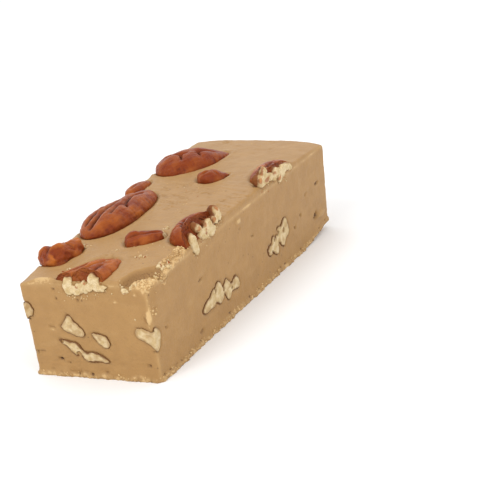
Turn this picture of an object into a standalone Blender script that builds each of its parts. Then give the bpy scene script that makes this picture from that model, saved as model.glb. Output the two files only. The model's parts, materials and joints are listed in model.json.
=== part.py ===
"""A knife-cut slice of pecan fudge, with pecan halves pressed into its top and pecan pieces set through it.

The slice lies flat. X runs across it, Y along it from the front end to the back end, and Z up from the
face it rests on. Sizes below are in millimetres, and MM turns them into metres.
"""

import math
from dataclasses import dataclass

import bmesh
import bpy
from mathutils import Matrix, Vector

MM = 0.001

# The slice. A knife leaves no two corners alike: each wall leans a little, and the back end is wider.
LENGTH = 104.7
HEIGHT = 25.5
HALF_WIDTHS = {  # from the middle plane out to the wall: (at the base, at the top)
    ("left", "front"): (18.8, 19.8),
    ("right", "front"): (16.3, 16.8),
    ("left", "back"): (19.9, 20.7),
    ("right", "back"): (19.6, 21.1),
}
CORNER_HEIGHTS = {
    ("left", "front"): 24.6,
    ("right", "front"): 25.4,
    ("left", "back"): 26.6,
    ("right", "back"): 25.9,
}
SIDE_SWELL = {"left": 1.0, "right": 2.2}  # how far the top's long edges bow up above their corners
END_SWELL = 1.2  # how far its short edges do
EDGE_ROUND = 1.0
FOOT_SPREAD = 0.8  # how far the base spreads where the slab stood on its tray
FOOT_HEIGHT = 4.0
CRUSHED_CORNER = (16.8, -LENGTH / 2)  # the front right corner of the top, broken by the knife
CRUSH_REACH = 7.0
CRUSH_DEPTH = 1.3
WORN_REACH = 28.0  # the base is worn away towards its back right corner
WORN_HEIGHT = 2.3
GRID_STEP = 5.4  # spacing of the slice's own vertices

GAP = 0.3  # between a nut and the fudge that it is set in
HEADROOM = 12.0  # how far above the top the knife's planes trim the nuts that it cut
FURROW_WIDTH = 0.16  # as a share of a pecan's half width
FURROW_DEPTH = 0.32  # as a share of its height
RIPPLE = 0.07  # how far the back rises and falls along its length, as a share of its height
KERNEL_POINTS = 28
TIP_CURVE = 2.4  # how roundly a whole half comes to its pointed ends
SQUARE_CURVE = 7  # how squarely a broken piece ends
TAPER = 0.12  # how much narrower than its middle the back end is, and how much wider the front end

FUDGE = ("fudge", (0.50, 0.31, 0.14), 0.55)
SKIN = ("pecan_skin", (0.32, 0.09, 0.03), 0.40)
KERNEL = ("pecan_kernel", (0.80, 0.64, 0.39), 0.60)


@dataclass
class Half:
    """A pecan half, or a piece of one, that lies on the top with its furrowed back up."""

    name: str
    size: tuple  # length, width, height of the back above its rim
    place: tuple  # the middle of its rim: across, along, above the base
    yaw: float  # degrees that its front end turns to the right
    roll: float = 0.0  # degrees that it rolls down to the right
    furrows: tuple = (-0.34, 0.34)  # where the long furrows run, as a share of the half width
    blunt: float = 0.0  # 0 for a whole half's pointed ends, 1 for a broken piece's square ends
    belly: float = 0.5  # how deep the flat side sinks, as a share of the height
    cut: bool = False  # sliced off flush with the wall
    segments: tuple = (14, 10)  # around it and along it


@dataclass
class Kernel:
    """A pecan piece inside the fudge, sliced by the knife and flush with a wall."""

    name: str
    wall: str
    place: tuple  # of its middle: along the wall from left to right seen from outside, above the base
    size: tuple  # length, thickness
    tilt: float  # degrees up to the right, seen from outside
    bends: float  # how many times its middle line zigzags
    swing: float  # how far the middle line zigzags to each side
    phase: float = 0.0
    depth: float = 5.0  # how far it reaches into the fudge


MANY = (22, 12)  # segments of the whole halves
SOME = (18, 12)  # segments of the halves that the knife cut

HALVES = (
    Half("pecan_half_mid_left", (33, 13.5, 5.0), (-12.9, -10.5, 26.8), -3, -4, (-0.5, 0.2), segments=MANY),
    Half("pecan_half_back_left", (24, 14.0, 4.6), (-10.3, 30.8, 27.2), -38, 0, (-0.26, 0.4), segments=MANY),
    Half("pecan_piece_front_left", (12, 9.0, 4.4), (-15.2, -37.4, 25.9), -18, -6, (-0.1, 0.5), 0.7, 0.6),
    Half("pecan_piece_centre", (11, 5.8, 3.0), (3.9, -27.6, 27.0), -56, 0, (0.3,), 0.8, 0.7),
    Half("pecan_piece_back", (9.5, 6.4, 2.6), (2.1, 17.4, 27.8), -44, 0, (0.1,), 0.6, 0.7),
    Half("pecan_sliver_left", (11, 5.0, 2.0), (-18.7, 10.5, 26.6), -4, -10, (0.2,), 0.4, 0.7),
    Half("pecan_cut_mid_right", (19, 14.6, 5.3), (16.9, -22, 27), 8, 4, (-0.34, 0.34), 0.2, 0.7, True, SOME),
    Half("pecan_cut_back_right", (19, 10, 3.2), (17.7, 21.8, 27.4), 8, 6, (-0.3, 0.3), 0.2, 0.4, True, SOME),
    Half("pecan_cut_front", (25, 13, 3.8), (-1.5, -50, 25.6), -12, 0, (-0.16, 0.55), 0.1, 0.6, True, SOME),
)

KERNELS = (
    Kernel("kernel_corner_left", "front", (-18.7, 17.0), (5.6, 3.8), 80, 1.0, 0.3, depth=3.5),
    Kernel("kernel_front_upper", "front", (-6.5, 14.1), (7.4, 3.6), -25, 2.0, 0.7, 0.8),
    Kernel("kernel_front_small", "front", (1.0, 10.3), (5.4, 2.6), -42, 1.0, 0.2, depth=4.0),
    Kernel("kernel_front_long", "front", (-4.2, 6.9), (14.6, 2.6), -20, 3.0, 0.9, 2.6),
    Kernel("kernel_corner_right", "front", (14.7, 11.4), (7.4, 4.2), -40, 1.5, 0.8, 1.2, 3.0),
    Kernel("kernel_right_near", "right", (-17.8, 9.8), (21.0, 4.4), 3, 4.0, 1.3, 1.0, 6.0),
    Kernel("kernel_right_far", "right", (17.6, 10.2), (15.5, 4.4), 29, 3.5, 1.4, 0.4, 6.0),
    Kernel("kernel_left_near", "left", (26.0, 13.6), (15.0, 4.6), -14, 3.0, 1.2, 0.6, 6.0),
    Kernel("kernel_left_middle", "left", (-8.0, 8.2), (9.0, 3.8), 28, 2.0, 0.8, 1.4),
    Kernel("kernel_left_far", "left", (-34.0, 15.2), (12.0, 4.0), 8, 2.5, 1.0, 2.2, 6.0),
    Kernel("kernel_back_low", "back", (10.3, 8.4), (13.0, 4.2), 16, 3.0, 1.2, 0.2, 6.0),
    Kernel("kernel_back_high", "back", (-7.3, 15.8), (7.0, 3.4), -30, 1.5, 0.7, 1.0),
)


def corner(side, end, top):
    """A corner of the slice, at its base or at its top."""
    reach = HALF_WIDTHS[(side, end)][1 if top else 0]
    return Vector(
        (
            reach if side == "right" else -reach,
            LENGTH / 2 if end == "back" else -LENGTH / 2,
            CORNER_HEIGHTS[(side, end)] if top else 0.0,
        )
    )


def in_slice(across, along, up):
    """The point of the uneven slice at these shares of its width, length and height."""
    levels = []
    for top in (False, True):
        front = corner("left", "front", top).lerp(corner("right", "front", top), across)
        back = corner("left", "back", top).lerp(corner("right", "back", top), across)
        levels.append(front.lerp(back, along))
    return levels[0].lerp(levels[1], up)


def swell(across, along):
    """How far the poured top stands above its corners."""
    over_the_length = 1 - abs(2 * along - 1) ** 3
    over_the_width = 1 - abs(2 * across - 1) ** 4
    bow_of_sides = SIDE_SWELL["left"] + (SIDE_SWELL["right"] - SIDE_SWELL["left"]) * across
    return bow_of_sides * over_the_length + END_SWELL * over_the_width * (1 - 0.6 * over_the_length)


def crush(point):
    """How far the broken corner has dropped at this point."""
    away = math.hypot(point.x - CRUSHED_CORNER[0], point.y - CRUSHED_CORNER[1])
    return CRUSH_DEPTH * max(0.0, 1 - away / CRUSH_REACH) ** 1.5


def spread_of_foot(point):
    return FOOT_SPREAD * max(0.0, 1 - point.z / FOOT_HEIGHT) ** 2


def worn_base(across, along):
    """How far the worn corner of the base has risen."""
    share = max(0.0, 1 - (1 - along) * LENGTH / WORN_REACH)
    return WORN_HEIGHT * share**1.5 * across**2


def add_mesh(name, bm, where):
    """A mesh object from a bmesh in millimetres."""
    bmesh.ops.recalc_face_normals(bm, faces=bm.faces)
    bmesh.ops.scale(bm, vec=(MM, MM, MM), verts=bm.verts)
    mesh = bpy.data.meshes.new(name)
    bm.to_mesh(mesh)
    bm.free()
    added = bpy.data.objects.new(name, mesh)
    where.objects.link(added)
    return added


def add_slice(name, where, headroom=0.0):
    """The slice: a box with rounded edges, pulled to its corners. Headroom makes its walls taller."""
    widest = 2 * max(reach[1] for reach in HALF_WIDTHS.values())
    size = Vector((widest, LENGTH, HEIGHT))
    bm = bmesh.new()
    bmesh.ops.create_cube(bm, size=1.0)
    bmesh.ops.translate(bm, vec=(0.5, 0.5, 0.5), verts=bm.verts)
    bmesh.ops.scale(bm, vec=size, verts=bm.verts)
    bmesh.ops.bevel(
        bm, geom=bm.edges[:], offset=EDGE_ROUND, segments=2, profile=0.5, affect="EDGES", material=-1
    )
    for axis in range(3):
        long_edges = [
            edge
            for edge in bm.edges
            if abs(edge.verts[0].co[axis] - edge.verts[1].co[axis]) > size[axis] / 2
        ]
        cuts = round(size[axis] / GRID_STEP) - 1
        bmesh.ops.subdivide_edges(bm, edges=long_edges, cuts=cuts, use_grid_fill=True)
    for vertex in bm.verts:
        across, along, up = (vertex.co[axis] / size[axis] for axis in range(3))
        if headroom:
            point = in_slice(across, along, up * (1 + headroom / HEIGHT))
        else:
            point = in_slice(across, along, up)
            point.z += (swell(across, along) - crush(point)) * up**2
            point.z += worn_base(across, along) * (1 - up) ** 2
        point.x += math.copysign(spread_of_foot(point), point.x) * abs(2 * across - 1) ** 2
        vertex.co = point
    return add_mesh(name, bm, where)


def add_half(half, where, margin=0.0):
    """A pecan half: a sphere drawn out to its length, with furrows along its back and a flatter belly."""
    length, width, height = (size + margin * share for size, share in zip(half.size, (2, 2, 1)))
    bm = bmesh.new()
    around, along = half.segments
    bmesh.ops.create_uvsphere(bm, u_segments=around, v_segments=along, radius=1.0)
    bmesh.ops.rotate(bm, cent=(0, 0, 0), matrix=Matrix.Rotation(math.radians(90), 3, "X"), verts=bm.verts)
    for vertex in bm.verts:
        share = vertex.co.y
        ring = math.sqrt(max(1e-9, 1 - share * share))
        side, up = vertex.co.x / ring, vertex.co.z / ring
        pointed = math.sqrt(max(0.0, 1 - abs(share) ** TIP_CURVE))
        square = math.sqrt(max(0.0, 1 - abs(share) ** SQUARE_CURVE))
        girth = (pointed + (square - pointed) * half.blunt) * (1 - TAPER * share)
        furrowed = sum(math.exp(-(((side - at) / FURROW_WIDTH) ** 2)) for at in half.furrows)
        ripple = RIPPLE * math.sin(4 * math.pi * share + 3 * side)
        rise = 1 - FURROW_DEPTH * furrowed + ripple if up > 0 else half.belly
        vertex.co = (side * girth * width / 2, share * length / 2, up * girth * rise * height)
    turn = Matrix.Rotation(math.radians(half.yaw), 4, "Z") @ Matrix.Rotation(math.radians(half.roll), 4, "Y")
    bmesh.ops.transform(bm, matrix=Matrix.Translation(half.place) @ turn, verts=bm.verts)
    return add_mesh(half.name, bm, where)


def wall_frame(kernel):
    """Where a kernel sits: its X runs to the right along the wall, its Y up, and its Z out of the fudge."""
    run, height = kernel.place
    if kernel.wall in ("front", "back"):
        facing = -1 if kernel.wall == "front" else 1
        to_right = Vector((-facing, 0, 0))
        middle = Vector((-facing * run, facing * LENGTH / 2, height))
    else:
        facing = -1 if kernel.wall == "left" else 1
        to_right = Vector((0, facing, 0))
        along = (facing * run + LENGTH / 2) / LENGTH
        middle = in_slice((facing + 1) / 2, along, height / HEIGHT)
    upward = Vector((0, 0, 1))
    axes = Matrix((to_right, upward, to_right.cross(upward))).transposed().to_4x4()
    turn = Matrix.Rotation(math.radians(kernel.tilt), 4, "Z")
    return Matrix.Translation(middle * MM) @ axes @ turn


def add_kernel(kernel, where, margin=0.0):
    """A kernel as a plug with a zigzag outline that still stands out of the wall as far as it goes in."""
    length, thickness = kernel.size
    outline = bpy.data.curves.new(kernel.name, "CURVE")
    outline.dimensions = "2D"
    outline.fill_mode = "BOTH"
    outline.extrude = (kernel.depth + margin) * MM
    outline.offset = margin * MM
    spline = outline.splines.new("POLY")
    spline.points.add(KERNEL_POINTS - 1)
    for index, point in enumerate(spline.points):
        angle = 2 * math.pi * index / KERNEL_POINTS
        share = math.cos(angle)
        half_thickness = math.copysign(abs(math.sin(angle)) ** 0.7, math.sin(angle)) * thickness / 2
        zigzag = math.sin(kernel.phase + kernel.bends * math.pi * share) * (1 - share**4) * kernel.swing
        point.co = (share * length / 2 * MM, (half_thickness + zigzag) * MM, 0, 1)
    spline.use_cyclic_u = True
    drawn = bpy.data.objects.new(kernel.name, outline)
    where.objects.link(drawn)
    mesh = bpy.data.meshes.new_from_object(drawn.evaluated_get(bpy.context.evaluated_depsgraph_get()))
    bpy.data.objects.remove(drawn)
    bm = bmesh.new()
    bm.from_mesh(mesh)
    bpy.data.meshes.remove(mesh)
    bmesh.ops.remove_doubles(bm, verts=bm.verts, dist=0.01 * MM)
    bmesh.ops.transform(bm, matrix=wall_frame(kernel), verts=bm.verts)
    bmesh.ops.scale(bm, vec=(1 / MM, 1 / MM, 1 / MM), verts=bm.verts)
    return add_mesh(kernel.name, bm, where)


def trim(target, tool, operation):
    """A Boolean of one object with another, which becomes a cutter that is drawn as a wire."""
    tool.hide_render = True
    tool.display_type = "WIRE"
    modifier = target.modifiers.new(f"{operation}_{tool.name}".lower(), "BOOLEAN")
    modifier.solver = "EXACT"
    modifier.operation = operation
    modifier.object = tool


def surface(target, look):
    name, colour, roughness = look
    material = bpy.data.materials.get(name) or bpy.data.materials.new(name)
    material.use_nodes = True
    shader = material.node_tree.nodes["Principled BSDF"]
    shader.inputs["Base Color"].default_value = (*colour, 1.0)
    shader.inputs["Roughness"].default_value = roughness
    shader.inputs["Metallic"].default_value = 0.0
    target.data.materials.append(material)
    target.data.shade_smooth()
    target.data.set_sharp_from_angle(angle=math.radians(40))


def new_collection(name):
    made = bpy.data.collections.new(name)
    bpy.context.scene.collection.children.link(made)
    return made


for leftover in list(bpy.data.objects):
    bpy.data.objects.remove(leftover)

parts = new_collection("pecan_fudge_bar")
cutters = new_collection("cutters")

fudge = add_slice("fudge", parts)
surface(fudge, FUDGE)
walls = add_slice("walls", cutters)
tall_walls = add_slice("tall_walls", cutters, HEADROOM)

for half in HALVES:
    nut = add_half(half, parts)
    surface(nut, SKIN)
    if half.cut:
        trim(nut, tall_walls, "INTERSECT")
    trim(fudge, add_half(half, cutters, GAP), "DIFFERENCE")

for kernel in KERNELS:
    nut = add_kernel(kernel, parts)
    surface(nut, KERNEL)
    trim(nut, walls, "INTERSECT")
    trim(fudge, add_kernel(kernel, cutters, GAP), "DIFFERENCE")
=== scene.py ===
"""A knife-cut bar of pecan fudge: the looks of the fudge, its nuts and its crumbs."""

import json
import math
import random
from dataclasses import dataclass

import bmesh
import bpy
from mathutils import Matrix, Vector, kdtree, noise
from mathutils.bvhtree import BVHTree

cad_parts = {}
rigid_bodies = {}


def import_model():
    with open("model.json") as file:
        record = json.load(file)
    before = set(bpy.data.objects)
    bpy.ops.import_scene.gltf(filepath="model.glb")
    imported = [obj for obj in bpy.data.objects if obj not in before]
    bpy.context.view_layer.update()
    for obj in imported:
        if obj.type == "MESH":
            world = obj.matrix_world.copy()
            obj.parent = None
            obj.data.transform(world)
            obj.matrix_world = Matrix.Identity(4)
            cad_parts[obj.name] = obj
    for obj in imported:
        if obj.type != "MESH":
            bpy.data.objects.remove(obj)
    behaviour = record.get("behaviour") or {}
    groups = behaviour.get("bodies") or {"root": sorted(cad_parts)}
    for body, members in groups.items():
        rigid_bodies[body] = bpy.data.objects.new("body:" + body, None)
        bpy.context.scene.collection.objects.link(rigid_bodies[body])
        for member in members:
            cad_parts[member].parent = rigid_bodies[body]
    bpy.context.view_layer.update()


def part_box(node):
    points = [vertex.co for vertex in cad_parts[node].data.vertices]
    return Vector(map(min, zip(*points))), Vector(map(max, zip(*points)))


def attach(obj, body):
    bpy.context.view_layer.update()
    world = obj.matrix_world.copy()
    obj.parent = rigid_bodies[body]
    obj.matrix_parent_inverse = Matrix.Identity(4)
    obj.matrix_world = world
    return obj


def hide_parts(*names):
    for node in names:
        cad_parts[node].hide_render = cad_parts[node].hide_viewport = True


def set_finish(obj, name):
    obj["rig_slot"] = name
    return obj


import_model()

# The slice's form. Sugar, butter and cream are boiled, beaten until they grain and poured into a tray, where
# the top sets in soft swells. A knife cuts the slab, and each wall leans a little its own way.
MM = 0.001
LENGTH = (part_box("fudge")[1].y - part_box("fudge")[0].y) / MM
HALF_WIDTHS = {  # in millimetres: (at the base, at the top)
    ("left", "front"): (18.8, 19.8),
    ("right", "front"): (16.3, 16.8),
    ("left", "back"): (19.9, 20.7),
    ("right", "back"): (19.6, 21.1),
}
CORNER_HEIGHTS = {
    ("left", "front"): 24.6,
    ("right", "front"): 25.4,
    ("left", "back"): 26.6,
    ("right", "back"): 25.9,
}
MEAN_SIZE = Vector((38.0, LENGTH, 25.5))
FRONT_LENGTH = 36.0
BACK_LENGTH = 40.7
BELT = (("front", FRONT_LENGTH), ("right", LENGTH), ("back", BACK_LENGTH), ("left", LENGTH))  # all round
BELT_START = {
    "front": 0.0,
    "right": FRONT_LENGTH,
    "back": FRONT_LENGTH + LENGTH,
    "left": FRONT_LENGTH + BACK_LENGTH + LENGTH,
}
SIDE_SWELL = {"left": 1.0, "right": 2.2}
END_SWELL = 1.2
FOOT_SPREAD = 0.4
FOOT_HEIGHT = 4.0


def rough(point, grain, seed=0.0):
    """Noise from -1 to 1 whose lumps are about grain millimetres wide."""
    return noise.noise(Vector(point) / grain + Vector((seed, -1.7 * seed, 0.6 * seed)))


def ease(value, start, end):
    """0 at start, 1 at end, and a smooth step between them."""
    share = min(1.0, max(0.0, (value - start) / (end - start)))
    return share * share * (3 - 2 * share)


def corner(side, end, top):
    reach = HALF_WIDTHS[side, end][1 if top else 0]
    x = reach if side == "right" else -reach
    y = LENGTH / 2 if end == "back" else -LENGTH / 2
    return Vector((x, y, CORNER_HEIGHTS[side, end] if top else 0.0))


def in_slice(across, along, up):
    """The point of the uneven slice at these shares of its width, length and height."""
    levels = []
    for top in (False, True):
        front = corner("left", "front", top).lerp(corner("right", "front", top), across)
        back = corner("left", "back", top).lerp(corner("right", "back", top), across)
        levels.append(front.lerp(back, along))
    return levels[0].lerp(levels[1], up)


def swell(across, along):
    """How far the poured top stands above its corners."""
    over_the_length = 1 - abs(2 * along - 1) ** 3
    over_the_width = 1 - abs(2 * across - 1) ** 4
    bow_of_sides = SIDE_SWELL["left"] + (SIDE_SWELL["right"] - SIDE_SWELL["left"]) * across
    return bow_of_sides * over_the_length + END_SWELL * over_the_width * (1 - 0.6 * over_the_length)


def unevenness(point):
    """How far a wall stands out from the plain slice: soft waves, and a foot that spread on the tray."""
    waves = 0.16 * rough(point, 9.0, 22.0) + 0.07 * rough(point, 2.6, 23.0)
    foot = 1 - ease(point.z, 0.0, FOOT_HEIGHT)
    return waves + FOOT_SPREAD * foot * (1 + 0.8 * rough(point, 3.0, 28.0))


def on_wall(run, height, out=0.0):
    """A point run millimetres round the walls from the front left corner, and out from the wall."""
    run %= sum(length for _, length in BELT)
    for wall, length in BELT:
        if run <= length:
            break
        run -= length
    share = run / length
    across, along, outward = {
        "front": (share, 0.0, Vector((0, -1, 0))),
        "right": (1.0, share, Vector((1, 0, 0))),
        "back": (1 - share, 1.0, Vector((0, 1, 0))),
        "left": (0.0, 1 - share, Vector((-1, 0, 0))),
    }[wall]
    top = in_slice(across, along, 1.0).z
    return in_slice(across, along, height / top) + outward * out


def start_on_belt(node, wall):
    """How far round the walls the left end of a node's box is, seen from outside."""
    low, high = (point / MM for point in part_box(node))
    first = on_wall(BELT_START[wall] + 0.001, (low.z + high.z) / 2)
    stretch = {
        "front": low.x - first.x,
        "right": low.y - first.y,
        "back": first.x - high.x,
        "left": first.y - high.y,
    }[wall]
    return BELT_START[wall] + stretch


# Shader effects that the fudge, the nuts and the crumbs share. They read Object coordinates, in metres, so
# their sizes are given in millimetres and turned into a scale inside.
def new_group(name, inputs, outputs):
    group = bpy.data.node_groups.new(name, "ShaderNodeTree")
    for label, kind, default in inputs:
        socket = group.interface.new_socket(name=label, in_out="INPUT", socket_type=f"NodeSocket{kind}")
        socket.default_value = default
    for label, kind in outputs:
        group.interface.new_socket(name=label, in_out="OUTPUT", socket_type=f"NodeSocket{kind}")
    return group, group.nodes.new("NodeGroupInput").outputs, group.nodes.new("NodeGroupOutput").inputs


def feed(tree, made, feeds):
    for label, value in dict(feeds).items():
        if isinstance(value, bpy.types.NodeSocket):
            tree.links.new(value, made.inputs[label])
        else:
            made.inputs[label].default_value = value


def add_node(tree, kind, feeds=(), **settings):
    """A node with its settings; feeds is {input: a socket to link or a value to set}."""
    made = tree.nodes.new(f"ShaderNode{kind}")
    for label, value in settings.items():
        setattr(made, label, value)
    feed(tree, made, feeds)
    return made


def scale_from_size(tree, size):
    """Turns a size in millimetres into a texture scale for coordinates in metres."""
    return add_node(tree, "Math", {0: 1 / MM, 1: size}, operation="DIVIDE").outputs[0]


def object_place(tree):
    return add_node(tree, "TexCoord").outputs["Object"]


def noise_of_size(tree, place, size, detail):
    feeds = {"Vector": place, "Scale": scale_from_size(tree, size), "Detail": detail}
    return add_node(tree, "TexNoise", feeds).outputs[0]


def between_colours(tree, mask, first, second):
    mixed = add_node(tree, "Mix", {0: mask, 6: first, 7: second}, data_type="RGBA")
    return mixed.outputs[2]


def make_mottle():
    """Two colours that cloud into each other, with finer flecks of a third."""
    group, given, out = new_group(
        "mottle",
        (
            ("Main", "Color", (0.5, 0.3, 0.15, 1)),
            ("Clouds", "Color", (0.45, 0.27, 0.13, 1)),
            ("Flecks", "Color", (0.4, 0.2, 0.1, 1)),
            ("Cloud Size", "Float", 6.0),
            ("Fleck Size", "Float", 0.6),
            ("Fleck Amount", "Float", 0.3),
        ),
        (("Color", "Color"),),
    )
    place = object_place(group)
    clouds = noise_of_size(group, place, given["Cloud Size"], 3.0)
    soft = add_node(group, "MapRange", {"Value": clouds, "From Min": 0.38, "From Max": 0.62})
    flecks = noise_of_size(group, place, given["Fleck Size"], 2.0)
    sharp = add_node(group, "MapRange", {"Value": flecks, "From Min": 0.60, "From Max": 0.72})
    amount = add_node(group, "Math", {0: sharp.outputs[0], 1: given["Fleck Amount"]}, operation="MULTIPLY")
    clouded = between_colours(group, soft.outputs[0], given["Main"], given["Clouds"])
    group.links.new(between_colours(group, amount.outputs[0], clouded, given["Flecks"]), out["Color"])
    return group


def make_grain():
    """The height of a grainy surface: fine grains on coarser lumps."""
    group, given, out = new_group(
        "grain",
        (("Grain Size", "Float", 0.5), ("Lump Size", "Float", 2.0), ("Lump Share", "Float", 0.5)),
        (("Height", "Float"),),
    )
    place = object_place(group)
    fine = noise_of_size(group, place, given["Grain Size"], 4.0)
    lumps = noise_of_size(group, place, given["Lump Size"], 2.0)
    mixed = add_node(group, "Mix", {0: given["Lump Share"], 2: fine, 3: lumps})
    group.links.new(mixed.outputs[0], out["Height"])
    return group


def make_pores():
    """Small round pores, scattered thinly: a mask that is 1 inside them."""
    group, given, out = new_group(
        "pores",
        (("Spacing", "Float", 3.0), ("Pore Size", "Float", 0.3), ("Amount", "Float", 0.5)),
        (("Mask", "Float"),),
    )
    place = object_place(group)
    spaced = scale_from_size(group, given["Spacing"])
    cells = add_node(group, "TexVoronoi", {"Vector": place, "Scale": spaced, "Randomness": 1.0})
    reach = add_node(group, "Math", {0: given["Pore Size"], 1: given["Spacing"]}, operation="DIVIDE")
    near = add_node(group, "Math", {0: cells.outputs["Distance"], 1: reach.outputs[0]}, operation="LESS_THAN")
    split = add_node(group, "SeparateColor", {"Color": cells.outputs["Color"]})
    some = add_node(group, "Math", {0: split.outputs[0], 1: given["Amount"]}, operation="LESS_THAN")
    both = add_node(group, "Math", {0: near.outputs[0], 1: some.outputs[0]}, operation="MULTIPLY")
    group.links.new(both.outputs[0], out["Mask"])
    return group


def make_ragged():
    """Breaks a soft value into patches with crisp, ragged edges."""
    group, given, out = new_group(
        "ragged",
        (
            ("Value", "Float", 0.0),
            ("Patch Size", "Float", 0.4),
            ("Threshold", "Float", 0.45),
            ("Raggedness", "Float", 0.6),
        ),
        (("Mask", "Float"),),
    )
    place = object_place(group)
    patches = noise_of_size(group, place, given["Patch Size"], 3.0)
    centred = add_node(group, "Math", {0: patches, 1: 0.5}, operation="SUBTRACT")
    swing = add_node(group, "Math", {0: centred.outputs[0], 1: given["Raggedness"], 2: given["Value"]})
    swing.operation = "MULTIPLY_ADD"
    above = add_node(group, "Math", {0: swing.outputs[0], 1: given["Threshold"]}, operation="SUBTRACT")
    crisp = add_node(group, "MapRange", {"Value": above.outputs[0], "From Min": -0.05, "From Max": 0.05})
    group.links.new(crisp.outputs[0], out["Mask"])
    return group


MOTTLE = make_mottle()
GRAIN = make_grain()
PORES = make_pores()
RAGGED = make_ragged()


def place_group(tree, group, feeds=()):
    made = tree.nodes.new("ShaderNodeGroup")
    made.node_tree = group
    feed(tree, made, feeds)
    return made.outputs


def mottled(tree, main, clouds, flecks, cloud_size, fleck_size, fleck_amount):
    colours = {"Main": main, "Clouds": clouds, "Flecks": flecks}
    sizes = {"Cloud Size": cloud_size, "Fleck Size": fleck_size, "Fleck Amount": fleck_amount}
    return place_group(tree, MOTTLE, colours | sizes)["Color"]


def painted(tree, name):
    """The strength of something that the mesh itself says of its surface, from 0 to 1."""
    return add_node(tree, "Attribute", attribute_name=name, attribute_type="GEOMETRY").outputs["Fac"]


def new_material(name, **set_values):
    material = bpy.data.materials.new(name)
    material.use_nodes = True
    shader = material.node_tree.nodes["Principled BSDF"]
    for label, value in set_values.items():
        shader.inputs[label.replace("_", " ").title().replace("Ior", "IOR")].default_value = value
    return material, material.node_tree, shader.inputs


def add_bump(tree, shader_inputs, height, depth):
    """Depth is the height of the bumps in millimetres."""
    bump = add_node(tree, "Bump", {"Height": height, "Strength": 1.0, "Distance": depth * MM})
    tree.links.new(bump.outputs[0], shader_inputs["Normal"])


# Pecan flesh and skin. The kernel is pale cream, waxy and crumbly where it is cut, and its thin papery skin
# is red-brown, with painted shade darkening it in the folds. The mesh marks where a cut shows flesh or skin,
# and how deep a fold is.
FLESH_PALE = (0.66, 0.52, 0.31, 1)
FLESH_DEEP = (0.54, 0.39, 0.19, 1)
FLESH_TAN = (0.36, 0.21, 0.085, 1)
FLESH_FLECK = (0.36, 0.17, 0.06, 1)
SKIN_RED = (0.20, 0.034, 0.008, 1)
SKIN_RUST = (0.25, 0.048, 0.008, 1)
SKIN_ORANGE = (0.43, 0.122, 0.020, 1)
SKIN_DARK = (0.045, 0.007, 0.003, 1)
RIM_BROWN = (0.17, 0.075, 0.026, 1)
RIM_DARK = (0.050, 0.020, 0.008, 1)
NUT_BUMPS = 0.22


def make_nut_material(name, roughness, skin_main, skin_clouds, skin_orange, skin_dark):
    """The mesh gives three shares: skin or flesh, fold or open surface, and orange or red."""
    material, tree, shader = new_material(name, roughness=roughness, specular_ior_level=0.12)
    flesh = mottled(tree, FLESH_PALE, FLESH_DEEP, FLESH_FLECK, 1.5, 0.5, 0.35)
    skin = mottled(tree, skin_main, skin_clouds, SKIN_DARK, 2.6, 0.35, 0.35)
    toned = between_colours(tree, painted(tree, "orange"), skin, skin_orange)
    # the fold share paints shade: the skin darker in its folds, the flesh tan at its edges and gaps
    folded = between_colours(tree, painted(tree, "fold"), toned, skin_dark)
    shaded_flesh = between_colours(tree, painted(tree, "fold"), flesh, FLESH_TAN)
    tree.links.new(between_colours(tree, painted(tree, "skin"), shaded_flesh, folded), shader["Base Color"])
    height = place_group(tree, GRAIN, {"Grain Size": 0.30, "Lump Size": 0.9, "Lump Share": 0.4})["Height"]
    add_bump(tree, shader, height, NUT_BUMPS)
    return material


SKIN_FINISH = make_nut_material("pecan_skin", 0.33, SKIN_RUST, SKIN_RED, SKIN_ORANGE, SKIN_DARK)
KERNEL_FINISH = make_nut_material("pecan_kernel", 0.5, RIM_BROWN, RIM_BROWN, RIM_BROWN, RIM_DARK)
FLESH_FINISH = make_nut_material("pecan_flesh", 0.5, SKIN_RUST, SKIN_ORANGE, SKIN_ORANGE, SKIN_DARK)


def nearest_of(points):
    """A finder of the nearest of these points."""
    finder = kdtree.KDTree(len(points))
    for index, point in enumerate(points):
        finder.insert(point, index)
    finder.balance()
    return finder


def finish_piece(name, bm, material, slot, *nodes):
    """A piece from a bmesh in millimetres. It rides on the one body and stands for the nodes it names."""
    bmesh.ops.recalc_face_normals(bm, faces=bm.faces)
    bmesh.ops.scale(bm, vec=(MM, MM, MM), verts=bm.verts)
    mesh = bpy.data.meshes.new(name)
    bm.to_mesh(mesh)
    bm.free()
    mesh.shade_smooth()
    mesh.materials.append(material)
    piece = bpy.data.objects.new(name, mesh)
    bpy.context.scene.collection.objects.link(piece)
    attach(piece, "root")
    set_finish(piece, slot)
    if nodes:
        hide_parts(*nodes)
    return piece


# Pecan pieces in the walls. They were stirred into the hot fudge and the knife went through them, so each is a
# flat cream face with lobes, a thin brown line of skin round it and sunk gaps where its folds meet, painted
# dark as shade; its flesh is painted tan towards its rim as shade. Its outline is run, then the drop of its
# upper and its lower edge, from the upper left corner of the node's box.
@dataclass
class Kernel:
    wall: str
    outline: list
    gaps: tuple = ()  # run, drop and radius of each dark gap
    overhang: float = 0.0  # how far the face starts round the corner before its wall
    depth: float = 2.5
    rim: float = 0.26  # the width of the line of skin round it
    tan: float = 0.05  # how much darker than cream its flesh is
    slim: float = 1.0  # how much of its outline's thickness it fills


def lobed(length, height, lean, lobes, phase):
    """The outline of a folded nut: lobes along it, and a lean up to the right."""
    outline = []
    steps = 4 * lobes + 2
    for step in range(steps + 1):
        share = step / steps
        middle = height / 2 + lean * (0.5 - share)
        half = 0.5 * (height - abs(lean)) * (1 - abs(2 * share - 1) ** 3) + 0.2
        wave = 0.32 * half * math.sin(2 * math.pi * lobes * share + phase)
        outline.append((share * length, middle - half * 0.8 - wave, middle + half * 0.8 - wave * 0.7))
    return outline


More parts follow.
